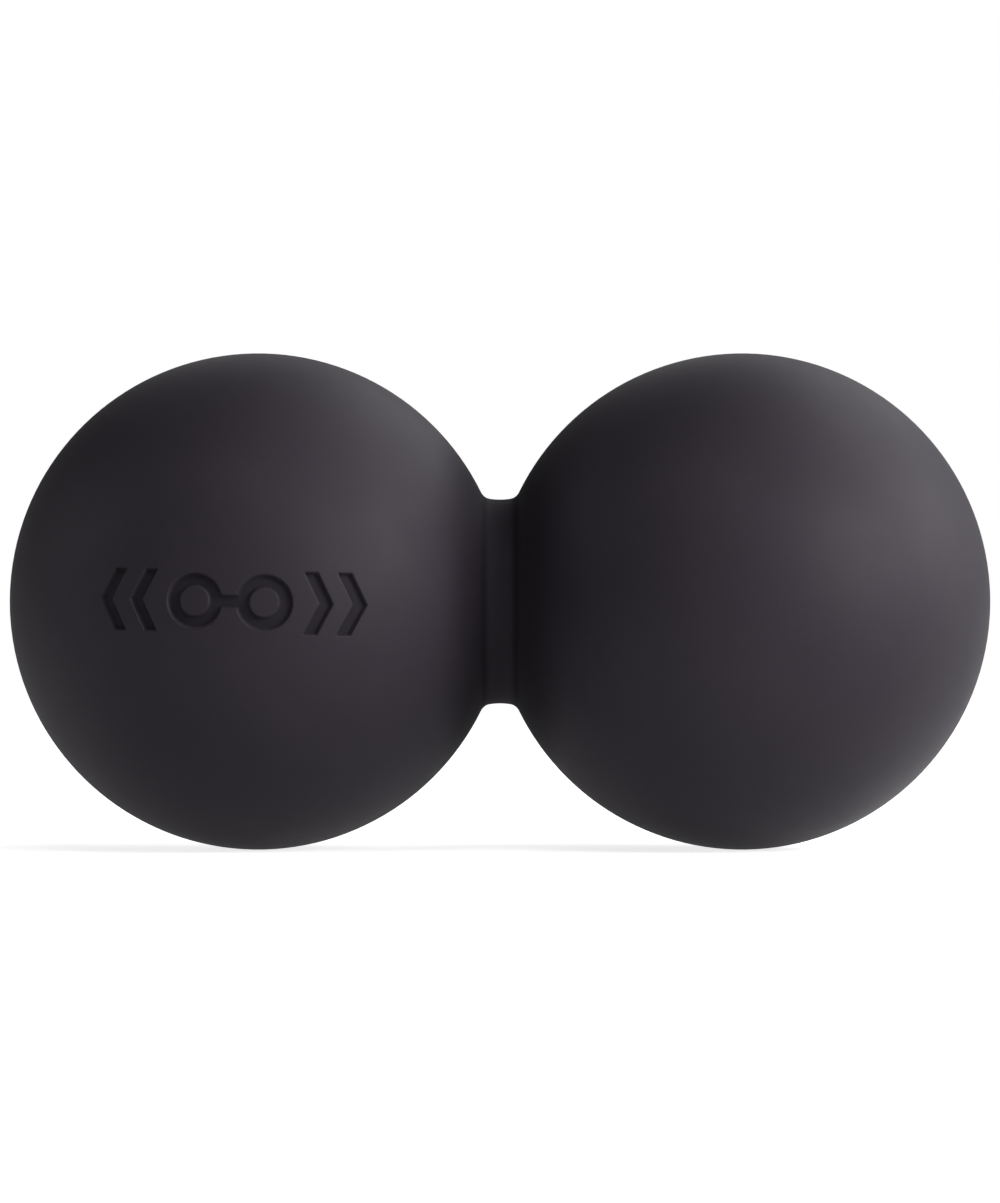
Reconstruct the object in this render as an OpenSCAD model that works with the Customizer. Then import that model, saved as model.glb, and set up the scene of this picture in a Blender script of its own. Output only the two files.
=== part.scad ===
// Twin massage ball: two round balls on one short neck.
//
// Two soft half skins, a front one and a rear one, close round a firm core in each ball.
// A rod ties the cores together through the neck, and a spacer holds them apart.
//
// X runs along the line of the balls, +Z is up, and the sunk mark faces -Y.
// The origin is on the resting surface, under the middle of the neck.

/* [Balls] */
// Diameter of each ball
ball_d = 60; // [50:1:90]
// Thickness of the skin over each core
skin_t = 9; // [6:0.5:11]

/* [Neck] */
// Diameter of the neck
neck_d = 24.8; // [20.6:0.1:32]
// Length of the neck from ball to ball, along its surface
neck_len = 3.8; // [3:0.1:12]
// Radius of the fillet between the neck and each ball
neck_fillet = 0.9; // [0.4:0.1:1.2]

/* [Seam] */
// Width of the tongue that keys the half skins together
tongue_w = 2.2; // [1.4:0.1:2.8]
// Height of the tongue
tongue_h = 2; // [1:0.1:4]
// Room round the tongue for the bonding film
tongue_gap = 0.1; // [0.05:0.05:0.2]

/* [Cores] */
// Room between each core and the skin for the bonding film
core_gap = 0.1; // [0.05:0.05:0.3]
// Free depth of each core's bore beyond the end of the rod
bore_relief = 0.8; // [0.3:0.1:2]

/* [Tie rod] */
// Diameter of the rod
rod_d = 8; // [6:0.5:10]
// Length of each end of the rod that sits in its core
rod_grip = 20; // [12:0.5:24]
// Room round the rod in its bores
rod_gap = 0.05; // [0.03:0.01:0.1]
// Chamfer on the ends of the rod
rod_chamfer = 1; // [0.5:0.1:1.5]
// Number of grip grooves in each end of the rod
groove_n = 4; // [2:1:4]
// Radius of the section of a grip groove
groove_r = 0.6; // [0.3:0.1:0.8]
// Distance from one grip groove to the next
groove_pitch = 3.5; // [2:0.1:4]

/* [Spacer] */
// Wall of the spacer round the rod
spacer_wall = 3.4; // [2.5:0.1:4]
// Depth that each core sits into the end of the spacer
seat_depth = 0.8; // [0.4:0.1:1]
// Room between the spacer and what it touches
spacer_gap = 0.05; // [0.03:0.01:0.1]

/* [Mark] */
// Depth of the sunk mark
mark_depth = 0.6; // [0.3:0.1:1]
// Width of the strokes of the mark
mark_stroke = 1.4; // [1:0.1:1.6]
// Outer diameter of each of the two rings in the middle of the mark
ring_d = 6.4; // [5:0.1:7.8]
// Distance between the centres of the rings
ring_pitch = 8.2; // [8:0.1:10]
// Height of the chevrons beside the rings
chevron_h = 7.2; // [5:0.1:9]
// Space between a ring and the chevron beside it
chevron_space = 1.4; // [1:0.1:2]
// Distance from one chevron to the next
chevron_pitch = 3.8; // [3:0.1:4.6]
// Turn of the mark about the upright axis of its ball, away from the neck
mark_turn = 4.5; // [0:0.5:15]
// Tilt of the mark in its own plane
mark_tilt = 1.5; // [-5:0.5:5]

/* [Hidden] */
$fn = 128;
// How far a cutting shape runs past what it cuts.
over = 1;
// The neck's fillets dip this far into the balls, so that their surfaces cross cleanly.
blend_dip = 0.01;

ball_r = ball_d / 2;
neck_r = neck_d / 2;
// Half of the distance between the centres of the balls.
ball_x = sqrt(ball_r * ball_r - neck_r * neck_r) + neck_len / 2;

// The fillet's centre, which is beside the neck and just off the ball.
fillet_reach = ball_r + neck_fillet - blend_dip;
fillet_z = neck_r + neck_fillet;
fillet_x = ball_x - sqrt(fillet_reach * fillet_reach - fillet_z * fillet_z);
// Radius about the neck's axis at which the fillet meets the ball.
fillet_top_r = fillet_z * ball_r / (ball_r + neck_fillet);

core_r = ball_r - skin_t;
cavity_r = core_r + core_gap;
rod_r = rod_d / 2;
bore_r = rod_r + rod_gap;
spacer_r = bore_r + spacer_wall;
neck_bore_r = spacer_r + spacer_gap;
spacer_half = ball_x - core_r + seat_depth;
rod_half = ball_x - core_r + rod_grip;

// Middle of the wall, where the tongue runs, in the balls and in the neck.
tongue_ball_r = (ball_r + cavity_r) / 2;
tongue_neck_r = (neck_r + neck_bore_r) / 2;

// Distance from the middle of the mark to its first chevron on each side.
chevron_x = ring_pitch / 2 + ring_d / 2 + chevron_space;
chevron_w = chevron_h / 2;

// Turns a shape made about the Z axis to lie about the line of the balls.
module along_x() rotate([0, 90, 0]) children();

// Puts a shape at the centre of one ball: side is -1 for the left and 1 for the right.
module at_ball(side) translate([side * ball_x, 0, 0]) children();

// Lifts the object off its own axis onto the resting surface.
module on_surface() translate([0, 0, ball_r]) children();

// Half outline of the twin ball, with its axis along Y.
module outer_profile() {
    for (side = [-1, 1])
        translate([0, side * ball_x])
            circle(r = ball_r);
    difference() {
        translate([0, -ball_x + fillet_top_r])
            square([fillet_top_r, 2 * (ball_x - fillet_top_r)]);
        translate([neck_r, -fillet_x])
            square([neck_fillet + over, 2 * fillet_x]);
        for (side = [-1, 1])
            translate([fillet_z, side * fillet_x])
                circle(r = neck_fillet);
    }
}

// Half outline of the space inside the skins, with its axis along Y.
module cavity_profile() {
    for (side = [-1, 1])
        translate([0, side * ball_x])
            circle(r = cavity_r);
    translate([0, -ball_x])
        square([neck_bore_r, 2 * ball_x]);
}

// Half skin on the +Y side of the seam, about the line of the balls.
module half_skin() {
    along_x()
        rotate_extrude(angle = 180)
            intersection() {
                difference() {
                    outer_profile();
                    cavity_profile();
                }
                translate([0, -ball_x - ball_r - over])
                    square([ball_r + over, 2 * (ball_x + ball_r + over)]);
            }
}

// Outline of the twin ball in the plane of the seam, drawn at other radii.
module seam_outline(round_r, straight_r) {
    for (side = [-1, 1])
        translate([side * ball_x, 0])
            circle(r = round_r);
    translate([-ball_x, -straight_r])
        square([2 * ball_x, 2 * straight_r]);
}

// Closed band along the middle of the wall, from the seam towards +Y.
module tongue_band(width, height) {
    translate([0, height, 0])
        rotate([90, 0, 0])
            linear_extrude(height = height)
                difference() {
                    seam_outline(tongue_ball_r + width / 2, tongue_neck_r + width / 2);
                    seam_outline(tongue_ball_r - width / 2, tongue_neck_r - width / 2);
                }
}

// One chevron of the mark, pointing along +X, with its back at the origin.
module chevron() {
    polygon([
        [0, -chevron_h / 2],
        [mark_stroke, -chevron_h / 2],
        [mark_stroke + chevron_w / 2, 0],
        [mark_stroke, chevron_h / 2],
        [0, chevron_h / 2],
        [chevron_w / 2, 0]
    ]);
}

// The mark: two joined rings between two pairs of chevrons, which show the way it rolls.
module mark_outline() {
    for (side = [-1, 1]) {
        translate([side * ring_pitch / 2, 0])
            difference() {
                circle(d = ring_d);
                circle(d = ring_d - 2 * mark_stroke);
            }
        for (i = [0:1])
            scale([side, 1])
                translate([chevron_x + i * chevron_pitch, 0])
                    chevron();
    }
    bridge = ring_pitch - ring_d + mark_stroke;
    square([bridge, mark_stroke], center = true);
}

// The material that the mark takes out of the front of the left ball.
module mark_cut() {
    at_ball(-1)
        rotate([0, 0, -mark_turn])
            rotate([90, mark_tilt, 0])
                difference() {
                    linear_extrude(height = ball_r + over)
                        mark_outline();
                    sphere(r = ball_r - mark_depth);
                }
}

module front_skin() {
    color([0.13, 0.12, 0.135])
        on_surface() {
            difference() {
                mirror([0, 1, 0]) half_skin();
                mark_cut();
            }
            tongue_band(tongue_w, tongue_h);
        }
}

module rear_skin() {
    color([0.13, 0.12, 0.135])
        on_surface()
            difference() {
                half_skin();
                tongue_band(tongue_w + 2 * tongue_gap, tongue_h + tongue_gap);
            }
}

// A firm ball with a blind bore for the rod, which opens towards the neck.
module core(side) {
    bore_half = rod_half + bore_relief;
    color([0.32, 0.31, 0.30])
        on_surface()
            along_x()
                difference() {
                    translate([0, 0, side * ball_x])
                        sphere(r = core_r);
                    cylinder(r = bore_r, h = 2 * bore_half, center = true);
                }
}

module left_core() core(-1);

module right_core() core(1);

module tie_rod() {
    color([0.85, 0.83, 0.76])
        on_surface()
            along_x()
                difference() {
                    union() {
                        cylinder(r = rod_r, h = 2 * (rod_half - rod_chamfer), center = true);
                        for (side = [-1, 1])
                            scale([1, 1, side])
                                translate([0, 0, rod_half - rod_chamfer])
                                    cylinder(r1 = rod_r, r2 = rod_r - rod_chamfer, h = rod_chamfer);
                    }
                    for (side = [-1, 1], i = [0:groove_n - 1])
                        translate([0, 0, side * (rod_half - 2 * rod_chamfer - groove_r - i * groove_pitch)])
                            rotate_extrude()
                                translate([rod_r, 0])
                                    circle(r = groove_r);
                }
}

// A sleeve round the rod, with a hollow seat for a core in each end.
module neck_spacer() {
    color([0.20, 0.24, 0.28])
        on_surface()
            difference() {
                along_x()
                    cylinder(r = spacer_r, h = 2 * spacer_half, center = true);
                along_x()
                    cylinder(r = bore_r, h = 2 * spacer_half + 2 * over, center = true);
                for (side = [-1, 1])
                    at_ball(side) sphere(r = core_r + spacer_gap);
            }
}

front_skin();
rear_skin();
left_core();
right_core();
tie_rod();
neck_spacer();
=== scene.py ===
import math

import bpy
import numpy as np
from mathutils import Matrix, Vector


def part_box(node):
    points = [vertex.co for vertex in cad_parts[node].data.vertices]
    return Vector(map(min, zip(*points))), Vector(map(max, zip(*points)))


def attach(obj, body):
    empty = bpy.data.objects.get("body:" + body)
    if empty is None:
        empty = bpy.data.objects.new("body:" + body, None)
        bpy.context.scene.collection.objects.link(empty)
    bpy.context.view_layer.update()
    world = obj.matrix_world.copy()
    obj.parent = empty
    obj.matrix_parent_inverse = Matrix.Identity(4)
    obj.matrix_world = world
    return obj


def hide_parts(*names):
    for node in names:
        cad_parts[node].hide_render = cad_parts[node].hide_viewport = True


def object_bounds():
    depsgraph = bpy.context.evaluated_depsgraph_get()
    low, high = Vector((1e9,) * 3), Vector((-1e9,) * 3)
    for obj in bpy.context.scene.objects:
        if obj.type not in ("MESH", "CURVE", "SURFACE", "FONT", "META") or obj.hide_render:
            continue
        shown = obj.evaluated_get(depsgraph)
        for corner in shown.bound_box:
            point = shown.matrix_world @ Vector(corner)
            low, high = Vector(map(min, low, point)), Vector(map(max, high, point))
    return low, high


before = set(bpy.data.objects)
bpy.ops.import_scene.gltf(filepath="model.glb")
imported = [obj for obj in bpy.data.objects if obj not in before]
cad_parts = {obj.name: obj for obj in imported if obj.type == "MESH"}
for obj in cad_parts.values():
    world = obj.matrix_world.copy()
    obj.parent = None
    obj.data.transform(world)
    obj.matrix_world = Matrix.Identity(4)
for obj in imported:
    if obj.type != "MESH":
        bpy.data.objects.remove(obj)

cad_low, cad_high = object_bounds()

# ---------------------------------------------------------------- sizes, in millimetres
MM = 0.001


def span(node, axis):
    """Lowest and highest coordinate of a CAD node along one axis."""
    low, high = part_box(node)
    return low[axis] / MM, high[axis] / MM


def radius(node):
    """Radius of a CAD node that is round about the line of the balls."""
    low, high = span(node, 2)
    return (high - low) / 2


BALL_R = (cad_high.z - cad_low.z) / 2 / MM
BALL_X = cad_high.x / MM - BALL_R       # from the middle of the neck to the centre of a ball
NECK_R = 12.4
CORE_GAP = 0.1
CAVITY_R = radius("left_core") + CORE_GAP
SPACER_GAP = 0.05
NECK_BORE_R = radius("neck_spacer") + SPACER_GAP
TONGUE_H = span("front_skin", 1)[1]
TONGUE_W = 2.2
TONGUE_GAP = 0.1

# The neck is a shallow waist with a small fillet at each ball.
WAIST_MID = NECK_R - 0.07
WAIST_R = 8.0
FILLET_R = 1.4
# Rounded edge of each half skin where the two meet.
SEAM_R = 0.09

MARK_DEPTH = 0.6
MARK_STROKE = 1.4
MARK_WALL = 0.26                        # width of the sloping walls of the mark
MARK_TURN = math.radians(4.5)
MARK_TILT = math.radians(1.5)
MARK_HALF_LENGTH = 16.6                 # of the patch of fine cells under the mark
MARK_HALF_HEIGHT = 5.4
RING_D = 6.4
RING_PITCH = 8.2
CHEVRON_H = 7.2
CHEVRON_PITCH = 3.8
CHEVRON_SPACE = 1.4
CHEVRON_X = RING_PITCH / 2 + RING_D / 2 + CHEVRON_SPACE

# ---------------------------------------------------------------- mesh resolution
BALL_ROWS = 64      # along each ball, from its pole to the neck
FILLET_ROWS = 7
WAIST_ROWS = 5      # half of the waist
COLS = 72           # half of the way round, outside
INNER_COLS = 36     # the same, inside
FINE = 14           # the mark's cells are this many times smaller


# ---------------------------------------------------------------- profile
def on_circle(centre_x, centre_r, size, angles):
    """Points (x, r) on a circle of the profile. A size below 0 makes a hollow curve."""
    return np.array([centre_x, centre_r]) + size * np.stack([np.cos(angles), np.sin(angles)], 1)


def tangent_fillet():
    """Centre of the left fillet, which touches the left ball and the circle of the waist."""
    waist_centre = WAIST_MID + WAIST_R
    from_ball = BALL_R + FILLET_R
    from_waist = WAIST_R - FILLET_R
    gap = math.hypot(BALL_X, waist_centre)
    along = (from_ball ** 2 - from_waist ** 2 + gap ** 2) / (2 * gap)
    aside = math.sqrt(from_ball ** 2 - along ** 2)
    unit_x, unit_r = BALL_X / gap, waist_centre / gap
    return -BALL_X + along * unit_x + aside * unit_r, along * unit_r - aside * unit_x


FILLET_X, FILLET_C = tangent_fillet()
POLE = math.asin(SEAM_R / BALL_R)                       # angle from the pole to the first row
BALL_END = math.atan2(FILLET_C, FILLET_X + BALL_X)      # normal's angle where ball meets fillet
WAIST_START = math.atan2(WAIST_MID + WAIST_R - FILLET_C, -FILLET_X)
ROW_STEP = (math.pi - BALL_END - POLE) / BALL_ROWS


def outer_rows():
    """Points and outward normals (x, r) of the outline, from the left pole to the middle."""
    ball = math.pi - np.linspace(POLE, math.pi - BALL_END, BALL_ROWS + 1)
    fillet = np.linspace(BALL_END, WAIST_START, FILLET_ROWS + 1)[1:]
    waist = np.linspace(WAIST_START, math.pi / 2, WAIST_ROWS + 1)[1:]
    rows = []
    for angles, centre_x, centre_r, size in (
        (ball, -BALL_X, 0.0, BALL_R),
        (fillet, FILLET_X, FILLET_C, -FILLET_R),
        (waist, 0.0, WAIST_MID + WAIST_R, -WAIST_R),
    ):
        normals = on_circle(0.0, 0.0, 1.0, angles)
        rows.append(np.concatenate([on_circle(centre_x, centre_r, size, angles), normals], 1))
    return np.concatenate(rows)


def mirrored(rows):
    """The rows of the left half, followed by the same rows mirrored to the right."""
    flip = rows[:-1][::-1] * np.array([-1.0, 1.0] * (rows.shape[1] // 2))
    return np.concatenate([rows, flip])


def inner_rows(round_r, straight_r):
    """One (x, r) for each outer row, on an outline of two circles and a straight neck."""
    ball = on_circle(-BALL_X, 0.0, round_r, math.pi - np.linspace(0, math.pi - BALL_END, BALL_ROWS + 1))
    corner = math.asin(straight_r / round_r)
    corner_x = -BALL_X + round_r * math.cos(corner)
    arc = round_r * (BALL_END - corner)
    steps = FILLET_ROWS + WAIST_ROWS
    bend_steps = max(1, round(steps * arc / (arc - corner_x)))
    bend = on_circle(-BALL_X, 0.0, round_r, np.linspace(BALL_END, corner, bend_steps + 1)[1:])
    x = np.linspace(corner_x, 0.0, steps - bend_steps + 1)[1:]
    return np.concatenate([ball, bend, np.stack([x, np.full(len(x), straight_r)], 1)])


# ---------------------------------------------------------------- the mark
def segment_distance(u, v, start, end):
    """Distance from points (u, v) to a straight line between two points."""
    run, rise = end[0] - start[0], end[1] - start[1]
    share = ((u - start[0]) * run + (v - start[1]) * rise) / (run * run + rise * rise)
    share = np.clip(share, 0, 1)
    return np.hypot(u - start[0] - share * run, v - start[1] - share * rise)


def polygon_distance(u, v, corners):
    """Signed distance to a polygon, negative inside."""
    distance = np.full(u.shape, np.inf)
    inside = np.zeros(u.shape, bool)
    for start, end in zip(corners, corners[1:] + corners[:1]):
        distance = np.minimum(distance, segment_distance(u, v, start, end))
        if start[1] != end[1]:
            crossing = start[0] + (end[0] - start[0]) * (v - start[1]) / (end[1] - start[1])
            inside ^= ((start[1] > v) != (end[1] > v)) & (u < crossing)
    return np.where(inside, -distance, distance)


def chevron(x, side):
    """Corners of a chevron that points away from the rings, with its back at x."""
    w = CHEVRON_H / 2
    corners = [
        (0, -w), (MARK_STROKE, -w), (MARK_STROKE + w / 2, 0),
        (MARK_STROKE, w), (0, w), (w / 2, 0),
    ]
    return [(side * (x + u), v) for u, v in corners]


def bridge():
    """Corners of the short bar that joins the rings."""
    w, h = (RING_PITCH - RING_D + MARK_STROKE) / 2, MARK_STROKE / 2
    return [(-w, -h), (w, -h), (w, h), (-w, h)]


def mark_distance(u, v):
    """Signed distance to the mark's outline, negative inside its strokes."""
    found = polygon_distance(u, v, bridge())
    for side in (-1, 1):
        off_ring = np.hypot(u - side * RING_PITCH / 2, v) - (RING_D - MARK_STROKE) / 2
        found = np.minimum(found, np.abs(off_ring) - MARK_STROKE / 2)
        for i in range(2):
            corners = chevron(CHEVRON_X + i * CHEVRON_PITCH, side)
            found = np.minimum(found, polygon_distance(u, v, corners))
    return found


def turned(a, b, angle):
    """Coordinates (a, b) turned by an angle."""
    c, s = math.cos(angle), math.sin(angle)
    return c * a - s * b, s * a + c * b


def mark_share(points):
    """Share of the mark's full depth at points on the left ball."""
    x = turned(points[:, 0] + BALL_X, points[:, 1], MARK_TURN)[0]
    u, v = turned(x, points[:, 2], MARK_TILT)
    t = np.clip(0.5 - mark_distance(u, v) / MARK_WALL, 0, 1)
    return t * t * (3 - 2 * t)


def sink_mark(points):
    """Points of the left ball, sunk by the mark, and the share of its depth at each."""
    share = mark_share(points)
    normals = (points - np.array([-BALL_X, 0.0, 0.0])) / BALL_R
    return points - normals * (share * MARK_DEPTH)[:, None], share


# ---------------------------------------------------------------- half skins
class Shell:
    """Collects the vertices and faces of one half skin, on the -Y side of the seam."""

    def __init__(self):
        self.points, self.shares = [], []
        self.faces, self.sharp = [], []
        self.count = 0

    def add(self, points, shares=None):
        """Adds vertices, with their share of the mark's depth, and returns their numbers."""
        points = np.asarray(points, float).reshape(-1, 3)
        self.points.append(points)
        self.shares.append(np.zeros(len(points)) if shares is None else shares)
        start, self.count = self.count, self.count + len(points)
        return np.arange(start, self.count)

    def quads(self, grid, skip=None, flip=False):
        """Faces between the rows and columns of a grid, apart from a rectangle of its cells."""
        for i in range(grid.shape[0] - 1):
            for j in range(grid.shape[1] - 1):
                if skip and skip[0] <= i < skip[1] and skip[2] <= j < skip[3]:
                    continue
                face = (grid[i, j], grid[i, j + 1], grid[i + 1, j + 1], grid[i + 1, j])
                self.faces.append(tuple(int(k) for k in (face[::-1] if flip else face)))

    def fan(self, pole, ring):
        """Triangles from a pole to the ring beside it."""
        for a, b in zip(ring, ring[1:]):
            self.faces.append((int(pole), int(a), int(b)))

    def strip(self, outer, inner):
        """Quads between two closed loops of the same length."""
        for k in range(-1, len(outer) - 1):
            face = (outer[k], outer[k + 1], inner[k + 1], inner[k])
            self.faces.append(tuple(int(n) for n in face))

    def stitch(self, a, b, fine):
        """Triangles between one coarse edge from a to b and the fine vertices beside it."""
        middle = len(fine) // 2
        for k in range(len(fine) - 1):
            self.faces.append((int(a if k < middle else b), int(fine[k + 1]), int(fine[k])))
        self.faces.append((int(a), int(b), int(fine[middle])))

    def loop(self, rows, y):
        """Vertices in the plane y, over the top to the right and back under the bottom."""
        top = np.stack([rows[:, 0], np.full(len(rows), y), rows[:, 1]], 1)
        bottom = (top * np.array([1, 1, -1]))[1:-1][::-1]
        return self.add(np.concatenate([top, bottom]))


def wrap(rows, angles):
    """Grid of points for (x, r) rows and angles from the top, over the front, to the bottom."""
    x, r = rows[:, 0:1], rows[:, 1:2]
    angles = np.asarray(angles) + np.zeros((len(rows), 1))
    return np.stack([x + 0 * angles, -r * np.sin(angles), r * np.cos(angles)], 2)


def half_turn(rows, share):
    """Angles between the seam's two rounded edges, for shares from 0 to 1 of the way."""
    edge = np.arcsin(np.clip(SEAM_R / rows[:, 1], 0, 1))[:, None]
    return edge + share * (math.pi - 2 * edge)


def rim(grid, left_pole, right_pole):
    """The closed loop of vertices round the open side of a grid with two poles."""
    return np.concatenate([[left_pole], grid[1:-1, 0], [right_pole], grid[1:-1, -1][::-1]])


def mark_cells():
    """First and last row and column of the coarse cells that the mark's patch takes over."""
    middle = (math.pi / 2 - MARK_TURN) / ROW_STEP
    half_rows = math.asin(MARK_HALF_LENGTH / BALL_R) / ROW_STEP
    ring_r = 25.0       # the mark's ends lie on rings of about this radius
    half_cols = math.ceil(MARK_HALF_HEIGHT / ring_r / math.pi * COLS)
    return (
        math.floor(middle - half_rows), math.ceil(middle + half_rows),
        COLS // 2 - half_cols, COLS // 2 + half_cols,
    )


def add_patch(shell, grid, cells):
    """Fills the hole that cells leave in the grid with fine cells, sunk by the mark."""
    row_a, row_b, col_a, col_b = cells
    row = np.linspace(row_a, row_b, (row_b - row_a) * FINE + 1)
    rows = on_circle(-BALL_X, 0.0, BALL_R, math.pi - (POLE + row * ROW_STEP))
    share = np.linspace(col_a, col_b, (col_b - col_a) * FINE + 1)[None, :] / COLS
    points = wrap(rows, half_turn(rows, share))
    fine = np.full(points.shape[:2], -1)
    fine[::FINE, [0, -1]] = grid[row_a:row_b + 1][:, [col_a, col_b]]
    fine[[0, -1], ::FINE] = grid[[row_a, row_b]][:, col_a:col_b + 1]
    new = fine < 0
    fine[new] = shell.add(*sink_mark(points[new]))
    shell.quads(fine)
    # The cells beside the patch take its fine vertices along one side.
    for j in range(col_a, col_b):
        edge = slice((j - col_a) * FINE, (j - col_a + 1) * FINE + 1)
        shell.stitch(grid[row_a - 1, j], grid[row_a - 1, j + 1], fine[0, edge])
        shell.stitch(grid[row_b + 1, j + 1], grid[row_b + 1, j], fine[-1, edge][::-1])
    for i in range(row_a, row_b):
        edge = slice((i - row_a) * FINE, (i - row_a + 1) * FINE + 1)
        shell.stitch(grid[i + 1, col_a - 1], grid[i, col_a - 1], fine[edge, 0][::-1])
        shell.stitch(grid[i, col_b + 1], grid[i + 1, col_b + 1], fine[edge, -1])
    # The four cells off its corners stay whole.
    for i in (row_a - 1, row_b):
        for j in (col_a - 1, col_b):
            shell.quads(grid[i:i + 2, j:j + 2])


def add_outside(shell, rows, with_mark):
    """Outer surface, with the mark if it has one. Returns the loop round its open side."""
    last = len(rows) - 1
    points = wrap(rows, half_turn(rows, np.linspace(0, 1, COLS + 1)[None, :]))
    grid = np.zeros((last + 1, COLS + 1), int)
    cells = mark_cells() if with_mark else None
    for i in range(1, last):
        kept = np.ones(COLS + 1, bool)
        if cells and cells[0] < i < cells[1]:
            kept[cells[2] + 1:cells[3]] = False
        grid[i, kept] = shell.add(points[i, kept])
    left_pole, right_pole = shell.add([points[0, 0], points[last, 0]])
    shell.fan(left_pole, grid[1][::-1])
    shell.fan(right_pole, grid[last - 1])
    if with_mark:
        # Row 0 of the quads is row 1 of the grid. One more cell on each side is stitched.
        skip = (cells[0] - 2, cells[1], cells[2] - 1, cells[3] + 1)
        shell.quads(grid[1:last], skip=skip)
        add_patch(shell, grid, cells)
    else:
        shell.quads(grid[1:last])
    return rim(grid, left_pole, right_pole)


def add_seam(shell, rows, outer_rim, tongue):
    """Rounded edge, flat and tongue or groove of the seam. Returns its innermost loop."""
    outline, normals = rows[:, :2].copy(), rows[:, 2:].copy()
    outline[[0, -1]] = [[-BALL_X - BALL_R, 0], [BALL_X + BALL_R, 0]]
    normals[[0, -1]] = [[-1, 0], [1, 0]]
    previous = outer_rim
    # The edge turns from the outer surface to the flat of the seam in three steps.
    for turn in (math.pi / 6, math.pi / 3, math.pi / 2):
        inset = outline - normals * SEAM_R * (1 - math.cos(turn))
        ring = shell.loop(inset, -SEAM_R + SEAM_R * math.sin(turn))
        shell.strip(previous, ring)
        previous = ring
    ball_middle = (BALL_R + CAVITY_R) / 2
    neck_middle = (NECK_R + NECK_BORE_R) / 2
    # The groove is wider than the tongue by the gap on each side.
    half = TONGUE_W / 2 + (TONGUE_GAP if tongue < 0 else 0)
    for side, y in ((half, 0.0), (half, tongue), (-half, tongue), (-half, 0.0)):
        ring = shell.loop(mirrored(inner_rows(ball_middle + side, neck_middle + side)), y)
        shell.strip(previous, ring)
        shell.sharp.append(ring)
        previous = ring
    return previous


def add_cavity(shell, seam_rim):
    """Surface of the space for the cores and the spacer, joined to the seam."""
    rows = mirrored(inner_rows(CAVITY_R, NECK_BORE_R))
    last = len(rows) - 1
    points = wrap(rows, np.linspace(0, math.pi, INNER_COLS + 1))
    grid = np.zeros((last + 1, INNER_COLS + 1), int)
    for i in range(1, last):
        grid[i] = shell.add(points[i])
    left_pole, right_pole = shell.add([points[0, 0], points[last, 0]])
    shell.fan(left_pole, grid[1])
    shell.fan(right_pole, grid[last - 1][::-1])
    shell.quads(grid[1:last], flip=True)
    ring = rim(grid, left_pole, right_pole)
    shell.strip(seam_rim, ring)
    shell.sharp.append(ring)


def half_skin(name, tongue, with_mark):
    """One half skin as a closed mesh. A tongue below 0 is the depth of a groove."""
    shell = Shell()
    rows = mirrored(outer_rows())
    outer_rim = add_outside(shell, rows, with_mark)
    seam_rim = add_seam(shell, rows, outer_rim, tongue)
    add_cavity(shell, seam_rim)
    return make_piece(name, shell, rear=not with_mark)


def make_piece(name, shell, rear):
    """Object made from a shell, set on the floor. The rear half is the shell's mirror image."""
    points, faces = np.concatenate(shell.points), shell.faces
    if rear:
        points = points * np.array([1, -1, 1])
        faces = [face[::-1] for face in faces]
    points = (points + np.array([0, 0, BALL_R])) * MM
    mesh = bpy.data.meshes.new(name)
    mesh.from_pydata(points.tolist(), [], faces)
    mesh.update()
    mesh.shade_smooth()
    # An edge is sharp where both of its ends lie on the same sharp loop.
    label = np.full(len(points), -1)
    for k, ring in enumerate(shell.sharp):
        label[ring] = k
    ends = np.zeros(len(mesh.edges) * 2, int)
    mesh.edges.foreach_get("vertices", ends)
    ends = label[ends.reshape(-1, 2)]
    sharp = (ends[:, 0] == ends[:, 1]) & (ends[:, 0] >= 0)
    mesh.attributes.new("sharp_edge", "BOOLEAN", "EDGE").data.foreach_set("value", sharp)
    depth = mesh.attributes.new("mark_depth", "FLOAT", "POINT")
    depth.data.foreach_set("value", np.concatenate(shell.shares).astype(np.float32))
    piece = bpy.data.objects.new(name, mesh)
    bpy.context.scene.collection.objects.link(piece)
    return piece


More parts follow.
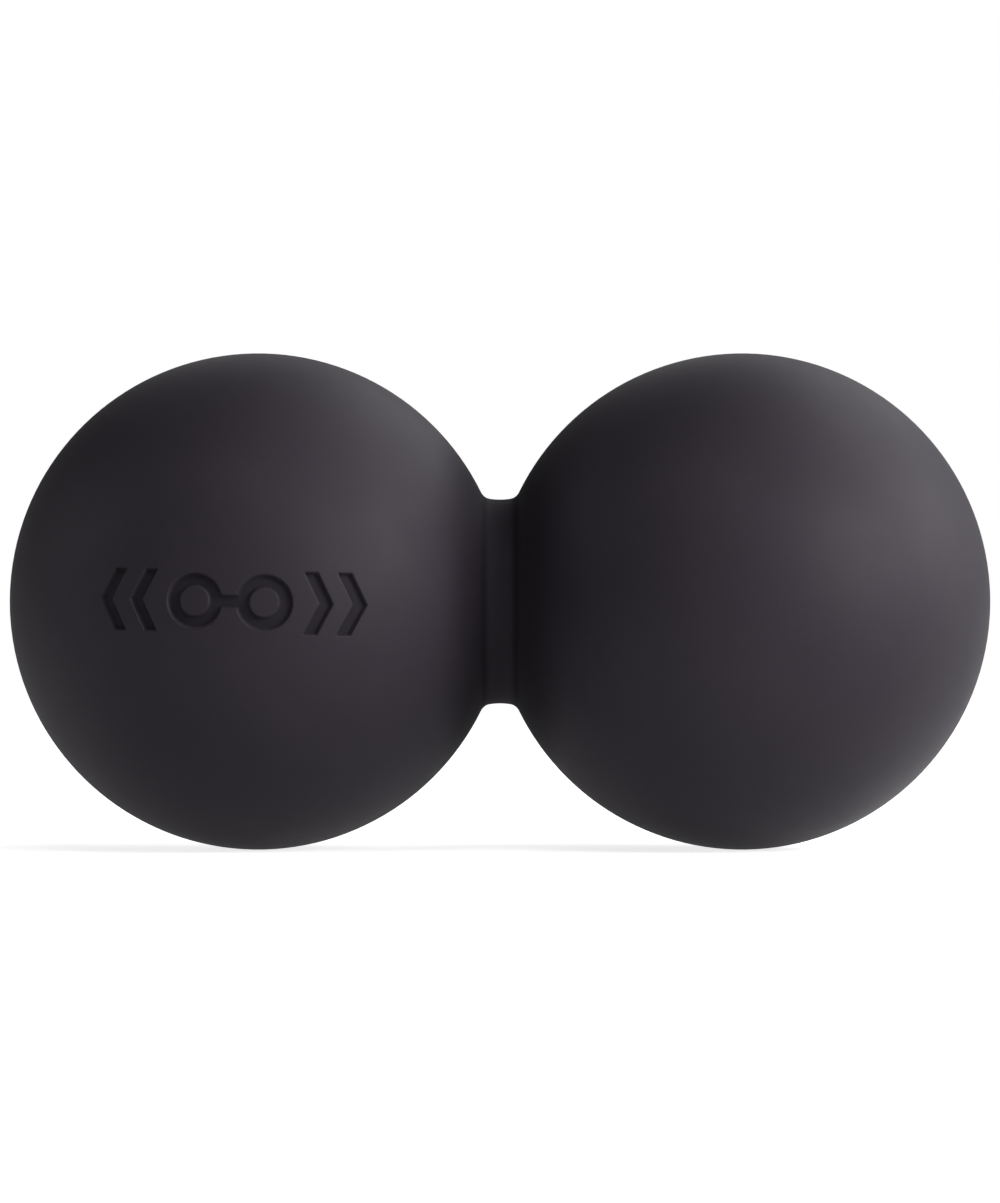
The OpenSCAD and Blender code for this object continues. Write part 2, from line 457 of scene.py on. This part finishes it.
# ---------------------------------------------------------------- materials
class Nodes:
    """A material's node tree, with short calls for the nodes used here."""

    def __init__(self, name):
        self.material = bpy.data.materials.new(name)
        self.material.use_nodes = True
        self.tree = self.material.node_tree
        self.shader = self.tree.nodes["Principled BSDF"]
        self.place = self.add("ShaderNodeTexCoord").outputs["Object"]

    def add(self, kind, **values):
        node = self.tree.nodes.new(kind)
        for key, value in values.items():
            setattr(node, key, value)
        return node

    def feed(self, socket, value):
        """Links a socket to another one, or sets it to a plain value."""
        if isinstance(value, bpy.types.NodeSocket):
            self.tree.links.new(value, socket)
        else:
            socket.default_value = value

    def noise(self, size, detail=2.0, roughness=0.5, distortion=0.0, stretch=None):
        """Noise from 0 to 1 whose features are about size metres across."""
        node = self.add("ShaderNodeTexNoise")
        if stretch:
            mapping = self.add("ShaderNodeMapping")
            self.feed(mapping.inputs["Vector"], self.place)
            mapping.inputs["Scale"].default_value = stretch
            self.feed(node.inputs["Vector"], mapping.outputs[0])
        else:
            self.feed(node.inputs["Vector"], self.place)
        node.inputs["Scale"].default_value = 1 / size
        node.inputs["Detail"].default_value = detail
        node.inputs["Roughness"].default_value = roughness
        node.inputs["Distortion"].default_value = distortion
        return node.outputs["Fac"]

    def ramp(self, value, low, high, to_low=0.0, to_high=1.0):
        """Smooth step: to_low where the value is low or less, to_high where it is high or more."""
        node = self.add("ShaderNodeMapRange", interpolation_type="SMOOTHSTEP")
        for key, v in (
            ("Value", value), ("From Min", low), ("From Max", high),
            ("To Min", to_low), ("To Max", to_high),
        ):
            self.feed(node.inputs[key], v)
        return node.outputs["Result"]

    def math(self, operation, a, b=0.0):
        node = self.add("ShaderNodeMath", operation=operation)
        self.feed(node.inputs[0], a)
        self.feed(node.inputs[1], b)
        return node.outputs[0]

    def mix(self, factor, a, b):
        """Colour a where the factor is 0, and colour b where it is 1."""
        node = self.add("ShaderNodeMix", data_type="RGBA")
        self.feed(node.inputs[0], factor)
        self.feed(node.inputs[6], a)
        self.feed(node.inputs[7], b)
        return node.outputs[2]

    def along(self, axis):
        """Distance from the plane through the origin across one axis."""
        parts = self.add("ShaderNodeSeparateXYZ")
        self.feed(parts.inputs[0], self.place)
        return self.math("ABSOLUTE", parts.outputs[axis])

    def bump(self, height, distance, strength, over=None):
        node = self.add("ShaderNodeBump")
        node.inputs["Strength"].default_value = strength
        node.inputs["Distance"].default_value = distance
        self.feed(node.inputs["Height"], height)
        if over:
            self.feed(node.inputs["Normal"], over)
        return node.outputs["Normal"]

    def attribute(self, name):
        return self.add("ShaderNodeAttribute", attribute_name=name).outputs["Fac"]

    def set(self, **values):
        """Feeds the shader's sockets, with _ for a space in their names."""
        for key, value in values.items():
            self.feed(self.shader.inputs[key.replace("_", " ")], value)


def rgb(r, g, b):
    return (r, g, b, 1.0)


def silicone():
    """Charcoal silicone with a fine matte grain, with painted shade in the mark and the groove, which
    are also duller.
    """
    m = Nodes("silicone_charcoal")
    cloud = m.noise(0.018, detail=3.0, roughness=0.55, distortion=0.4)
    speck = m.noise(0.0005, detail=1.0)
    smudge = m.noise(0.009, detail=4.0, roughness=0.6, distortion=0.8)
    depth = m.attribute("mark_depth")

    # Painted shade in the groove: it is dark to 3 mm from the middle and fades out by 8 mm. The neck is
    # half as dark.
    from_middle = m.along("X")
    near_neck = m.ramp(from_middle, 0.0030, 0.0080, 1.0, 0.0)
    off_neck = m.ramp(from_middle, 0.0012, 0.0020, 0.5, 1.0)
    groove_shade = m.math("MULTIPLY", near_neck, off_neck)

    tone = m.mix(m.ramp(cloud, 0.3, 0.7), rgb(0.0194, 0.0152, 0.0227), rgb(0.0216, 0.0170, 0.0253))
    tone = m.mix(m.ramp(speck, 0.60, 0.78, 0.0, 0.25), tone, rgb(0.030, 0.025, 0.034))
    # Painted shade: the groove and the neck are mixed towards a near-black tone.
    tone = m.mix(groove_shade, tone, rgb(0.0070, 0.0036, 0.0090))
    # Painted shade: the floor of the mark is mixed towards a darker tone. Its roughness is raised as
    # well.
    tone = m.mix(m.ramp(depth, 0.35, 0.95, 0.0, 0.8), tone, rgb(0.0120, 0.0093, 0.0140))

    rough = m.ramp(smudge, 0.35, 0.7, 0.605, 0.635)
    rough = m.math("ADD", rough, m.ramp(depth, 0.4, 0.95, 0.0, 0.2))
    rough = m.math("ADD", rough, m.math("MULTIPLY", groove_shade, 0.3))

    wave = m.bump(m.noise(0.006, detail=2.0), 0.00003, 0.5)
    grain = m.bump(m.noise(0.00028, detail=3.0, roughness=0.6), 0.00001, 0.5, over=wave)
    m.set(Base_Color=tone, Roughness=rough, Normal=grain, IOR=1.41,
          Specular_Tint=rgb(1.0, 0.95, 1.0), Sheen_Weight=0.06, Sheen_Roughness=0.4)
    return m.material


def core_rubber():
    """Cured filler rubber: dull grey-brown with paler crumbs and a dusting of talc."""
    m = Nodes("filler_rubber")
    crumbs = m.noise(0.0016, detail=2.0)
    talc = m.noise(0.011, detail=5.0, roughness=0.65)
    tone = m.mix(m.ramp(crumbs, 0.55, 0.62), rgb(0.080, 0.074, 0.068), rgb(0.150, 0.140, 0.128))
    tone = m.mix(m.ramp(talc, 0.48, 0.75, 0.0, 0.5), tone, rgb(0.34, 0.33, 0.32))
    m.set(Base_Color=tone, Roughness=m.ramp(talc, 0.3, 0.7, 0.72, 0.92),
          Normal=m.bump(crumbs, 0.00008, 0.6), IOR=1.5)
    return m.material


def rod_nylon():
    """Natural nylon, turned, with fine rings round it and a little yellowing."""
    m = Nodes("turned_nylon")
    rings = m.noise(0.00045, detail=2.0, stretch=(1.0, 0.02, 0.02))
    aged = m.noise(0.012, detail=3.0)
    tone = m.mix(m.ramp(aged, 0.35, 0.7), rgb(0.72, 0.69, 0.58), rgb(0.64, 0.59, 0.44))
    m.set(Base_Color=tone, Roughness=m.ramp(rings, 0.3, 0.7, 0.34, 0.48),
          Normal=m.bump(rings, 0.00002, 0.5), IOR=1.53,
          Subsurface_Weight=0.12, Subsurface_Scale=0.002)
    return m.material


def spacer_plastic():
    """Dark blue-grey moulded plastic with spark-eroded texture and pale flow lines."""
    m = Nodes("moulded_spacer")
    spark = m.noise(0.0003, detail=2.0)
    flow = m.noise(0.004, detail=3.0, distortion=1.5, stretch=(0.3, 1.0, 1.0))
    tone = m.mix(m.ramp(flow, 0.4, 0.7), rgb(0.033, 0.047, 0.066), rgb(0.044, 0.060, 0.082))
    m.set(Base_Color=tone, Roughness=m.ramp(spark, 0.3, 0.7, 0.38, 0.52),
          Normal=m.bump(spark, 0.00002, 0.6), IOR=1.49)
    return m.material


# ---------------------------------------------------------------- pieces
skin = silicone()
for piece_name, node_name, tongue, with_mark in (
    ("front_skin_moulded", "front_skin", TONGUE_H, True),
    ("rear_skin_moulded", "rear_skin", -(TONGUE_H + TONGUE_GAP), False),
):
    piece = half_skin(piece_name, tongue, with_mark)
    piece.data.materials.append(skin)
    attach(piece, "root")
    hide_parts(node_name)

rubber = core_rubber()
for node_name, material in (
    ("left_core", rubber),
    ("right_core", rubber),
    ("tie_rod", rod_nylon()),
    ("neck_spacer", spacer_plastic()),
):
    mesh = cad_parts[node_name].data
    mesh.materials.clear()
    mesh.materials.append(material)

# ---------------------------------------------------------------- stage, in metres
CENTRE = Vector((0.0, 0.0, BALL_R * MM))
FLOOR_HALF = 3.0
FLOOR_CELLS = 24
LIGHT_DISTANCE = 0.7
LIGHT_SIZE = 0.35
PICTURE_HEIGHT = 0.1455     # what the camera sees at the object


def paper():
    """White paper that glows, far more for the camera than as a light on the object."""
    m = Nodes("stage_floor")
    fibre = m.noise(0.0012, detail=2.0)
    camera_ray = m.add("ShaderNodeLightPath").outputs["Is Camera Ray"]
    from_centre = m.add("ShaderNodeVectorMath", operation="LENGTH")
    m.feed(from_centre.inputs[0], m.place)
    seen_glow = m.ramp(from_centre.outputs["Value"], 0.15, 0.5, 0.8, 1.0)
    # A strip under the object lights its underside.
    cast_glow = m.ramp(m.along("Y"), 0.0, 0.02, 0.3, 0.05)
    m.set(Base_Color=m.mix(m.ramp(fibre, 0.3, 0.7), rgb(0.80, 0.80, 0.80), rgb(0.82, 0.82, 0.82)),
          Roughness=0.9, Specular_IOR_Level=0.0, Emission_Color=rgb(1, 1, 1),
          Emission_Strength=m.ramp(camera_ray, 0, 1, cast_glow, seen_glow))
    return m.material


def floor():
    """A wide pale sheet under the object."""
    mesh = bpy.data.meshes.new("stage_floor")
    line = np.linspace(-FLOOR_HALF, FLOOR_HALF, FLOOR_CELLS + 1)
    points = [(x, y, 0.0) for y in line for x in line]
    row = FLOOR_CELLS + 1
    starts = [i * row + j for i in range(FLOOR_CELLS) for j in range(FLOOR_CELLS)]
    mesh.from_pydata(points, [], [(a, a + 1, a + row + 1, a + row) for a in starts])
    mesh.materials.append(paper())
    piece = bpy.data.objects.new("stage_floor", mesh)
    bpy.context.scene.collection.objects.link(piece)


def studio():
    """White room for the camera, and a very weak ambient light for everything else."""
    world = bpy.data.worlds.new("studio")
    bpy.context.scene.world = world
    world.use_nodes = True
    nodes, links = world.node_tree.nodes, world.node_tree.links
    nodes.clear()
    choose = nodes.new("ShaderNodeMixShader")
    ray = nodes.new("ShaderNodeLightPath")
    out = nodes.new("ShaderNodeOutputWorld")
    links.new(ray.outputs["Is Camera Ray"], choose.inputs[0])
    # Socket 2 is what the camera sees, and socket 1 what lights the object.
    for socket, strength in ((1, 0.01), (2, 1.0)):
        background = nodes.new("ShaderNodeBackground")
        background.inputs["Color"].default_value = rgb(1, 1, 1)
        background.inputs["Strength"].default_value = strength
        links.new(background.outputs[0], choose.inputs[socket])
    links.new(choose.outputs[0], out.inputs["Surface"])


def soft_box(name, azimuth, elevation, power):
    """Round light aimed at the object. Angles in degrees: azimuth 0 is in front, 90 on the right."""
    light = bpy.data.lights.new(name, "AREA")
    light.shape, light.size, light.energy = "DISK", LIGHT_SIZE, power
    a, e = math.radians(azimuth), math.radians(elevation)
    back = Vector((math.sin(a) * math.cos(e), -math.cos(a) * math.cos(e), math.sin(e)))
    lamp = bpy.data.objects.new(name, light)
    lamp.location = CENTRE + back * LIGHT_DISTANCE
    lamp.rotation_euler = back.to_track_quat("Z", "Y").to_euler()
    lamp.visible_camera = False
    bpy.context.scene.collection.objects.link(lamp)


def add_camera():
    """Level camera in front of the object, far off, so that the view is nearly parallel."""
    camera = bpy.data.cameras.new("camera")
    camera.lens, camera.sensor_width = 200.0, 36.0
    camera.clip_start, camera.clip_end = 0.05, 20.0
    eye = bpy.data.objects.new("camera", camera)
    eye.location = CENTRE + Vector((0, -PICTURE_HEIGHT * camera.lens / camera.sensor_width, 0))
    eye.rotation_euler = (math.pi / 2, 0, 0)
    bpy.context.scene.collection.objects.link(eye)
    bpy.context.scene.camera = eye


floor()
studio()
for light_row in (
    ("key", 60, 22, 2.66),
    ("key_wing", 45, 22, 0.95),
    ("side", 105, 22, 1.90),
    ("top", 0, 52, 0.97),
    ("high_rim", 120, 52, 1.00),
    ("fill", -90, 22, 0.50),
    ("back", 150, 35, 0.46),
    ("far", 180, 35, 0.12),
):
    soft_box(*light_row)
add_camera()
bpy.context.scene.view_settings.view_transform = "Standard"
